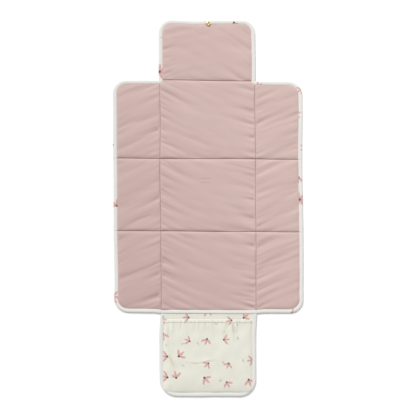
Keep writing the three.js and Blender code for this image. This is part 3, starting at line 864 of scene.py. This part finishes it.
class MAT_OT_seams(bpy.types.Operator):
    """Makes the stitched-down cloth in every seam, left on no body where the mat folds"""
    bl_idname = "mat.seams"
    bl_label = "Quilting seams"

    def execute(self, context):
        sizes = context.scene.changing_mat_sizes
        threads = {"row1": bmesh.new(), "row2": bmesh.new(), "row3": bmesh.new()}
        for first, second, y in (("row1", "row2", ROW2_Y), ("row2", "row3", ROW3_Y)):
            middle = (-SEAM_X, SEAM_X)
            self.cross_seam(sizes, f"{second}_cross_seam", middle, y, (first, second), threads[first])
            near, far = SEAM_X + 0.8 * MM, EDGE_X - TAPE_WIDTH + 1.5 * MM
            for side, ends in (("left", (-far, -near)), ("right", (near, far))):
                self.cross_seam(sizes, f"{second}_{side}_cross_seam", ends, y, (f"{second}_{side}",), None)
        ends = (8 * MM - SEAM_X, SEAM_X - 8 * MM)
        self.cross_seam(sizes, "flap_seam", ends, FLAP_Y, ("row1", "flap"), threads["row1"], -ROLL)
        rows = (("row1", ROW2_Y, FLAP_Y), ("row2", ROW3_Y, ROW2_Y), ("row3", POCKET_Y, ROW3_Y))
        for name, low, high in rows:
            for side, x in (("left", -SEAM_X), ("right", SEAM_X)):
                bodies = (name, f"{name}_{side}")
                self.long_seam(sizes, f"{name}_{side}_seam", x, low, high, bodies, threads[name])
        for name, bm in threads.items():
            wander(bm)
            publish(f"{name}_seam_thread", bm, name, ["rose_thread"])
        return {"FINISHED"}

    def strip(self, left, right, low, high, level, along_x, lines):
        """A strip of cloth with a wall, its print below and a line of painted shade where the thread draws it
        down.
        """
        bm = bmesh.new()
        size = Matrix.Diagonal((right - left, high - low, 1, 1))
        place = Matrix.Translation(((left + right) / 2, (low + high) / 2, level))
        count = round(max(right - left, high - low) / (4 * MM))
        across, along = (count, lines) if along_x else (lines, count)
        bmesh.ops.create_grid(bm, x_segments=across, y_segments=along, size=0.5, matrix=place @ size)
        for vert in bm.verts:
            if along_x:
                vert.co.y = gather_middle(vert.co.y, (low + high) / 2)
            else:
                vert.co.x = gather_middle(vert.co.x, (left + right) / 2)
        give_thickness(bm, 0.9 * MM)
        # The middle line of a cross seam gets the painted seam shade.
        for face in bm.faces:
            if face.normal.z < -0.5:
                face.material_index = 1
            elif along_x and abs(face.calc_center_median().y - (low + high) / 2) < 0.5 * MM:
                face.material_index = 3
        return bm

    def cross_seam(self, sizes, name, ends, y, bodies, thread, roll=ROLL):
        """A seam across the mat: deep, and where the mat folds."""
        lines = 24 if thread else 8
        bm = self.strip(ends[0], ends[1], y - SEAM_HALF, y + SEAM_HALF, SEAM_LEVEL - 0.1 * MM, True, lines)
        count = round((ends[1] - ends[0]) / sizes.stitch_pitch)
        for i in range(count):
            x = ends[0] + (i + 0.5) * (ends[1] - ends[0]) / count
            place = Vector((x, y, SEAM_LEVEL + 0.15 * MM))
            stitch(thread or bm, place, 0, sizes.stitch_length, index=0 if thread else 2)
        self.hang(bm, name, bodies, (0, y + roll, 0), (0, y - roll, 0))

    def long_seam(self, sizes, name, x, low, high, bodies, thread):
        """A seam along the mat: soft, between a row and its wing."""
        ends = {"row1": "t", "row2": "", "row3": "b"}[bodies[0]]
        panel = Panel(-SEAM_X, SEAM_X, low, high, ends, 0)
        first = low + (TAPE_WIDTH - 2 * MM if "b" in ends else 1 * MM)
        last = high - (TAPE_WIDTH - 2 * MM if "t" in ends else 1 * MM)
        bm = self.strip(x - SEAM_HALF, x + SEAM_HALF, first, last, -0.1 * MM, False, 24)
        for vert in bm.verts:
            vert.co.z += long_seam_height(panel, vert.co.y)
        count = round((last - first) / sizes.stitch_pitch)
        for i in range(count):
            y = first + (i + 0.5) * (last - first) / count
            place = Vector((x, y, long_seam_height(panel, y) + 0.15 * MM))
            stitch(thread, place, math.pi / 2, sizes.stitch_length)
        way = ROLL if x > 0 else -ROLL
        self.hang(bm, name, bodies, (x - way, 0, 0), (x + way, 0, 0))

    def hang(self, bm, name, bodies, start, end):
        """Lets a strip ride on one body; a strip between two bodies is left on none, where it lies."""
        wander(bm)
        alone = len(bodies) == 1
        piece = publish(name, bm, bodies[0] if alone else None, SEAM_FINISHES)
        if not alone:
            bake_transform(piece)


# ---- Pocket ---------------------------------------------------------------------------------------

# Lines along which the slack front has creased, each as a few points (millimetres) with its depth.
CREASES = (
    (((-106, -300), (-104, -345), (-97, -395), (-72, -478)), 2.6),
    (((66, -297), (70, -325), (73, -360)), 3.2),
    (((44, -318), (47, -350)), 1.8),
    (((-58, -408), (-30, -412), (8, -405), (22, -404)), 1.5),
)


def crease_drop(x, y):
    """How far the pocket's front is drawn down or pushed up near its creases, and how much painted crease
    shade a point gets.
    """
    total, shade = 0.0, 0.0
    point = Vector((x, y))
    for line, depth in CREASES:
        best, side, along = 1.0, 0.0, 0.0
        for number, (first, second) in enumerate(zip(line, line[1:])):
            a, b = Vector(first) * MM, Vector(second) * MM
            way = b - a
            t = min(1, max(0, (point - a).dot(way) / way.length_squared))
            off = point - (a + way * t)
            if off.length < best:
                best = off.length
                along = (number + t) / (len(line) - 1)
                side = 1 if way.x * off.y - way.y * off.x > 0 else -1
        fold = best * side
        broken = 0.75 + noise.noise(Vector((x * 45, y * 45, depth)))
        fade = ramp(along, 0, 0.3) * ramp(1 - along, 0, 0.35) * broken
        depth_here = depth * max(0.1, min(1, fade))
        total += depth_here * MM * (0.55 * math.exp(-((fold - 5 * MM) / (5 * MM)) ** 2)
                               - math.exp(-(fold / (1.8 * MM)) ** 2))
        # Painted shade, strongest along each crease.
        shade += 0.17 * depth_here * math.exp(-(fold / (4 * MM)) ** 2)
    return total, shade


def mouth_ripple(x, y):
    """The gathers that the elastic draws up, dying out below the mouth."""
    below = max(0.0, CASING_Y - y)
    fade = math.exp(-below / (16 * MM))
    return 1.3 * MM * fade * noise.noise(Vector((x * 190, below * 9, 4.0)))


def shape_pocket(bm):
    """Makes a piece of the pocket a little wider below than at its sewn end, then lets it wander."""
    for vert in bm.verts:
        down = min(1, max(0, (POCKET_Y - vert.co.y) / (110 * MM)))
        vert.co.x *= 0.975 + 0.037 * down
    wander(bm)


def pocket_panel(sizes):
    return Panel(-END_X, END_X, BOTTOM_Y, POCKET_Y, "lrb", sizes.pocket_corner)


class MAT_OT_pocket(bpy.types.Operator):
    """Makes the pocket: its printed back, the gathered front, the casing and the elastic in it"""
    bl_idname = "mat.pocket"
    bl_label = "Gathered pocket"

    def execute(self, context):
        sizes = context.scene.changing_mat_sizes
        panel = pocket_panel(sizes)
        self.back(panel)
        self.front(sizes, panel)
        self.casing(sizes)
        self.fold_strip()
        return {"FINISHED"}

    def back(self, panel):
        bm = bmesh.new()
        pad_patch(bm, panel, 5 * MM)
        for vert in bm.verts:
            lift = 1.0 * MM * edge_fall(held_distance(panel, vert.co.x, vert.co.y), 10 * MM)
            below = max(0.0, MOUTH_Y - vert.co.y)
            header = 1.5 * MM * math.exp(-below / (10 * MM)) if vert.co.y < POCKET_Y - 1 * MM else 1.2 * MM
            vert.co.z = 1.0 * MM + lift + header * 0.6
        give_thickness(bm, 0.8 * MM)
        shape_pocket(bm)
        back = publish("pocket_back_cloth", bm, "pocket", ["blossom_print_cotton"])
        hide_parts("pocket_back")

    def front_height(self, sizes, panel, x, y):
        full = sizes.pocket_height
        tape = TAPE_WIDTH - 0.5 * MM
        distances = (x - panel.left - tape, panel.right - x - tape, y - panel.low - tape)
        drop = max((full - RIM_LEVEL) * edge_fall(d, reach * MM) for d, reach in zip(distances, (26, 26, 34)))
        loose = noise.noise(Vector((x * 22, y * 11, 8.0))) + 0.6 * noise.noise(Vector((x * 40, y * 34, 2.0)))
        loose *= 1.6 * MM
        return full - drop + (1 - drop / full) * (loose + crease_drop(x, y)[0] + mouth_ripple(x, y))

    def front(self, sizes, panel):
        bm = bmesh.new()
        lower = panel._replace(high=CASING_Y + 1 * MM)
        pad_patch(bm, lower, 2.5 * MM)
        bm.verts.index_update()
        crease = bm.verts.layers.float.new("crease")
        held, slack = {}, []
        for vert in bm.verts:
            x, y = vert.co.x, vert.co.y
            vert.co.z = self.front_height(sizes, panel, x, y)
            # Painted shade, kept as an attribute: along the creases and in the gathers under the casing.
            gathered = max(0, noise.noise(Vector((x * 150, y * 30, 1))))
            gathered *= math.exp(-(CASING_Y - y) / (14 * MM))
            vert[crease] = min(0.75, crease_drop(x, y)[1] + 0.9 * gathered)
            reach = held_distance(lower, x, y)
            held[vert.index] = 1.0 if reach < 1.5 * MM else sizes.hold
            gather = 0.05 * math.exp(-(CASING_Y - y) / (45 * MM))
            slack.append(Vector((x * (1.01 + gather), y * 1.006, vert.co.z)))
        relax(bm, held, slack, sizes.pressure * 0.5, frames=14, most=3 * MM)
        for vert in bm.verts:
            vert.co.z = min(9.5 * MM, max(2.4 * MM, vert.co.z))
        give_thickness(bm, 0.7 * MM)
        shape_pocket(bm)
        front = publish("pocket_front_cloth", bm, "pocket", ["blossom_print_cotton"],
                        rounded=True)
        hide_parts("pocket_front")

    def band(self, sizes, half, low, high, lift, thickness, step):
        """A strip along the mouth that follows the front's height."""
        panel = pocket_panel(sizes)
        bm = bmesh.new()
        grid(bm, -half, half, low, high, step)
        for vert in bm.verts:
            crown = 1 - ((vert.co.y - (low + high) / 2) / ((high - low) / 2)) ** 2
            level = self.front_height(sizes, panel, vert.co.x, CASING_Y)
            vert.co.z = level + lift + 0.5 * MM * crown
        give_thickness(bm, thickness)
        return bm

    def casing(self, sizes):
        """The casing along the mouth, with its row of stitches, and the elastic inside it."""
        half = END_X - TAPE_WIDTH * 0.6
        bm = self.band(sizes, half, CASING_Y - 0.5 * MM, MOUTH_Y, 0.45 * MM, 2.4 * MM, 1.8 * MM)
        count = round(2 * half / sizes.stitch_pitch)
        panel = pocket_panel(sizes)
        for i in range(count):
            x = -half + (i + 0.5) * 2 * half / count
            level = self.front_height(sizes, panel, x, CASING_Y) + 0.6 * MM
            stitch(bm, Vector((x, CASING_Y + 0.7 * MM, level)), 0, sizes.stitch_length, index=1)
        shape_pocket(bm)
        casing = publish("pocket_casing_cloth", bm, "pocket",
                         ["blossom_print_cotton", "cream_thread"], rounded=True)
        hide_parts("pocket_casing")
        low, high = CASING_Y + 1.2 * MM, MOUTH_Y - 1.2 * MM
        bm = self.band(sizes, half - 6 * MM, low, high, -0.5 * MM, 0.7 * MM, 1.8 * MM)
        shape_pocket(bm)
        elastic = publish("pocket_elastic_tape", bm, "pocket", ["knitted_elastic"])
        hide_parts("pocket_elastic")

    def fold_strip(self):
        """The backing cloth that joins the pocket to the mat where the pocket folds up, left on no body."""
        bm = bmesh.new()
        half = SEAM_X - 2 * MM
        grid(bm, -half, half, POCKET_Y - SEAM_HALF, POCKET_Y + SEAM_HALF, 4 * MM, 1.1 * MM, 0.5 * MM)
        give_thickness(bm, 0.8 * MM)
        for vert in bm.verts:
            vert.co.y = gather_middle(vert.co.y, POCKET_Y)
        wander(bm)
        strip = publish("pocket_fold_cloth", bm, None, ["blossom_print_cotton"])
        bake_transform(strip)


# ---- Press snap -----------------------------------------------------------------------------------

def turned(bm, centre, profile):
    """A turned piece about an upright axis, from (radius, height) points in millimetres."""
    points = [bm.verts.new(Vector((centre[0] + r * MM, centre[1], z * MM))) for r, z in profile]
    edges = [bm.edges.new(pair) for pair in zip(points, points[1:])]
    bmesh.ops.spin(bm, geom=edges, cent=(centre[0], centre[1], 0), axis=(0, 0, 1), dvec=(0, 0, 0),
                   angle=2 * math.pi, steps=48, use_merge=True, use_duplicate=False)
    bmesh.ops.remove_doubles(bm, verts=bm.verts[:], dist=1e-6)
    bmesh.ops.recalc_face_normals(bm, faces=bm.faces[:])


class MAT_OT_snap(bpy.types.Operator):
    """Makes the press snap: the socket and cap on the flap, and the stud in the back of the second row"""
    bl_idname = "mat.snap"
    bl_label = "Press snap"

    def execute(self, context):
        low, high = (corner[2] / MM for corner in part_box("snap_socket"))
        radius = (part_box("snap_socket")[1][0] - SNAP[0]) / MM
        self.make("snap_socket_ring", "flap", SNAP, "snap_socket", [
            (0, low), (radius - 0.8, low), (radius - 0.1, low + 0.3), (radius, low + 0.9),
            (radius - 0.25, low + 1.9), (radius - 0.8, high - 0.9), (radius - 1.7, high - 0.25),
            (radius - 2.5, high), (radius - 3.1, high - 0.1), (2.5, high - 0.5), (2.4, high - 1.1),
            (2.3, high - 1.8), (0.6, high - 1.95), (0, high - 1.85)])
        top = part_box("snap_cap")[1][2] / MM
        self.make("snap_cap_and_post", "flap", SNAP, "snap_cap", [
            (0, 0.02), (4.6, 0.04), (5.5, 0.12), (5.9, 0.3), (5.9, 0.5), (5.6, 0.6), (1.3, 0.6), (1.1, 0.8),
            (1.1, top - 0.2), (0.9, top), (0, top)])
        self.make("snap_stud_ball", "row2", STUD, "snap_stud", [
            (0, 0.03), (1.2, 0.08), (1.9, 0.35), (2.1, 0.75), (2.0, 1.1), (1.75, 1.4), (2.1, 1.52),
            (4.3, 1.55), (4.75, 1.8), (4.75, 2.2), (4.5, 2.4), (1.4, 2.4), (1.4, 0.95), (0, 0.95)])
        for node in ("stud_rivet", "stud_patch"):
            cad = frame["nodes"][node]
            material = finishes()["pale_brass" if node == "stud_rivet" else "knitted_elastic"]
            cad.data.materials.clear()
            cad.data.materials.append(material)
        self.patch_stitches(context.scene.changing_mat_sizes)
        return {"FINISHED"}

    def make(self, name, body, centre, node, profile):
        """Turns one piece of the snap in place of its node, with softened edges."""
        bm = bmesh.new()
        turned(bm, centre, profile)
        piece = publish(name, bm, body, ["pale_brass"])
        bevel = piece.modifiers.new("Bevel", "BEVEL")
        bevel.width = 0.12 * MM
        bevel.segments = 2
        bevel.limit_method = "ANGLE"
        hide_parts(node)

    def patch_stitches(self, sizes):
        """Two lines of stitching come through the face where the stud's patch is sewn on."""
        low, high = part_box("stud_patch")
        bm = bmesh.new()
        for y in (low[1] + 0.8 * MM, high[1] - 0.8 * MM):
            count = round((high[0] - low[0]) / sizes.stitch_pitch)
            for i in range(count):
                x = low[0] + (i + 0.5) * (high[0] - low[0]) / count
                stitch(bm, Vector((x, y, STUD_COVER)), 0, sizes.stitch_length, 0.9 * MM)
        wander(bm)
        publish("stud_patch_stitches", bm, "row2", ["rose_thread"])


# ---- Stage ----------------------------------------------------------------------------------------

class MAT_OT_stage(bpy.types.Operator):
    """Sets the white table, soft daylight and the camera that looks straight down"""
    bl_idname = "mat.stage"
    bl_label = "Stage"

    def execute(self, context):
        bm = bmesh.new()
        grid(bm, -40, 40, -40, 40, 10.0, -0.4 * MM)
        mesh = bpy.data.meshes.new("table_top")
        bm.to_mesh(mesh)
        bm.free()
        tree, shader, place = new_material("matt_white_board")
        grain = add_node(tree, "TexNoise", {"Vector": place, "Scale": 3.0, "Detail": 2.0})
        white, shade = linear("#fdfdfd"), linear("#fafafa")
        colour = add_node(tree, "Mix", {0: grain, 6: white, 7: shade}, data_type="RGBA")
        fill(tree, shader, {"Base Color": colour.outputs[2], "Roughness": 0.9, "Specular IOR Level": 0.1})
        mesh.materials.append(bpy.data.materials["matt_white_board"])
        table = bpy.data.objects.new("table_top", mesh)
        context.collection.objects.link(table)
        table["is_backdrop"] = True
        self.lights(context)
        self.camera(context)
        return {"FINISHED"}

    def lights(self, context):
        stage = context.scene.changing_mat_stage
        world = bpy.data.worlds.new("daylight")
        context.scene.world = world
        world.use_nodes = True
        world.node_tree.nodes["Background"].inputs[0].default_value = (1, 1, 1, 1)
        world.node_tree.nodes["Background"].inputs[1].default_value = stage.ambient
        light = bpy.data.lights.new("window", "SUN")
        light.energy = stage.key
        light.angle = math.radians(30)
        lamp = bpy.data.objects.new("window", light)
        lamp.rotation_euler = Vector((0.5, -1.0, -stage.key_height)).to_track_quat("-Z", "Y").to_euler()
        context.collection.objects.link(lamp)
        card = bpy.data.lights.new("white card", "AREA")
        card.energy = stage.bounce
        card.size = 1.2
        holder = bpy.data.objects.new("white card", card)
        holder.location = (1.3, 0.8, 1.2)
        holder.rotation_euler = (-holder.location).to_track_quat("-Z", "Y").to_euler()
        context.collection.objects.link(holder)
        context.scene.view_settings.view_transform = "Standard"

    def camera(self, context):
        stage = context.scene.changing_mat_stage
        camera = bpy.data.cameras.new("camera")
        camera.sensor_width = 36
        camera.lens = 36 * stage.camera_height / stage.view_width
        camera.clip_end = 20
        holder = bpy.data.objects.new("camera", camera)
        holder.location = (-0.5 * MM, 1 * MM, stage.camera_height)
        holder.rotation_euler = (0, 0, 0)
        context.collection.objects.link(holder)
        context.scene.camera = holder


# ---- Settings, panel and running -------------------------------------------------------------------

def length(name, description, default):
    return FloatProperty(name=name, description=description, default=default, unit="LENGTH", precision=4)


def cloth_colour(name, description, code):
    return FloatVectorProperty(name=name, description=description, default=linear(code), subtype="COLOR")


class ChangingMatSizes(bpy.types.PropertyGroup):
    """Sizes of the soft pieces"""
    mat_corner: length("Mat corner", "Radius of the mat's outer corners", 37 * MM)
    flap_corner: length("Flap corner", "Radius of the flap's corners", 34 * MM)
    pocket_corner: length("Pocket corner", "Radius of the pocket's corners", 46 * MM)
    pad_height: length("Pad height", "Height of a full cell", 4.5 * MM)
    wrinkles: FloatProperty(name="Wrinkles", description="Height of the seam puckers", default=1.7)
    pocket_height: length("Pocket height", "Height of the pocket's front", 7.0 * MM)
    cloth_step: length("Cloth step", "Spacing of the cloth mesh", 3.6 * MM)
    stitch_pitch: length("Stitch pitch", "From one stitch to the next", 3.6 * MM)
    stitch_length: length("Stitch length", "Length of the thread that shows", 2.6 * MM)
    slack_along: FloatProperty(name="Slack along", description="Extra cloth along the mat", default=0.03)
    slack_across: FloatProperty(name="Slack across", description="Extra cloth across the mat", default=0.006)
    slack_lean: FloatProperty(name="Lean", description="Skew of the cloth in each cell", default=0.02)
    hold: FloatProperty(name="Wadding hold", description="How firmly wadding holds cloth", default=0.06)
    pressure: FloatProperty(name="Wadding pressure", description="Push of the wadding", default=0.6)


class ChangingMatColours(bpy.types.PropertyGroup):
    """Colours of the cloths"""
    face: cloth_colour("Face", "Pink cotton", "#cbb3ad")
    face_shade: cloth_colour("Face shade", "Pink cotton where the dye is deeper", "#c1a6a1")
    back: cloth_colour("Back", "Cream cotton", "#e3e2d9")
    back_shade: cloth_colour("Back shade", "Cream cotton, deeper", "#d7d5c6")


class ChangingMatStage(bpy.types.PropertyGroup):
    """Light and camera"""
    key: FloatProperty(name="Window", description="Strength of the soft light from above left", default=2.75)
    key_height: FloatProperty(name="Window height", description="Its rise against its reach", default=0.8)
    bounce: FloatProperty(name="Bounce", description="Power of the fill beyond the right wing", default=7.0,
                          unit="POWER")
    ambient: FloatProperty(name="Ambient", description="Strength of the white room", default=0.5)
    camera_height: length("Camera height", "Height of the camera over the table", 3.2)
    view_width: length("View width", "Width of table that the camera sees", 1.1007)


class MAT_PT_panel(bpy.types.Panel):
    """The mat's operators and settings"""
    bl_idname = "MAT_PT_panel"
    bl_label = "Changing mat"
    bl_space_type = "VIEW_3D"
    bl_region_type = "UI"
    bl_category = "Changing mat"

    def draw(self, context):
        for settings in ("changing_mat_sizes", "changing_mat_colours", "changing_mat_stage"):
            group = getattr(context.scene, settings)
            box = self.layout.box()
            for name in group.__annotations__:
                box.prop(group, name)
        for operator in OPERATORS:
            self.layout.operator(operator.bl_idname)


OPERATORS = (MAT_OT_pads, MAT_OT_tapes, MAT_OT_seams, MAT_OT_pocket, MAT_OT_snap, MAT_OT_stage)
GROUPS = {"changing_mat_sizes": ChangingMatSizes, "changing_mat_colours": ChangingMatColours,
          "changing_mat_stage": ChangingMatStage}


def register():
    for item in (*GROUPS.values(), *OPERATORS, MAT_PT_panel):
        bpy.utils.register_class(item)
    for name, group in GROUPS.items():
        setattr(bpy.types.Scene, name, PointerProperty(type=group))


def unregister():
    for name in GROUPS:
        delattr(bpy.types.Scene, name)
    for item in reversed((*GROUPS.values(), *OPERATORS, MAT_PT_panel)):
        bpy.utils.unregister_class(item)


def main():
    register()
    bpy.ops.mat.pads()
    bpy.ops.mat.tapes()
    bpy.ops.mat.seams()
    bpy.ops.mat.pocket()
    bpy.ops.mat.snap()
    bpy.ops.mat.stage()
    boxes = {"cad": CAD_BOX, "visual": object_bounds()}
    plain = {name: [[float(v) for v in corner] for corner in box] for name, box in boxes.items()}


if __name__ == "__main__":
    main()
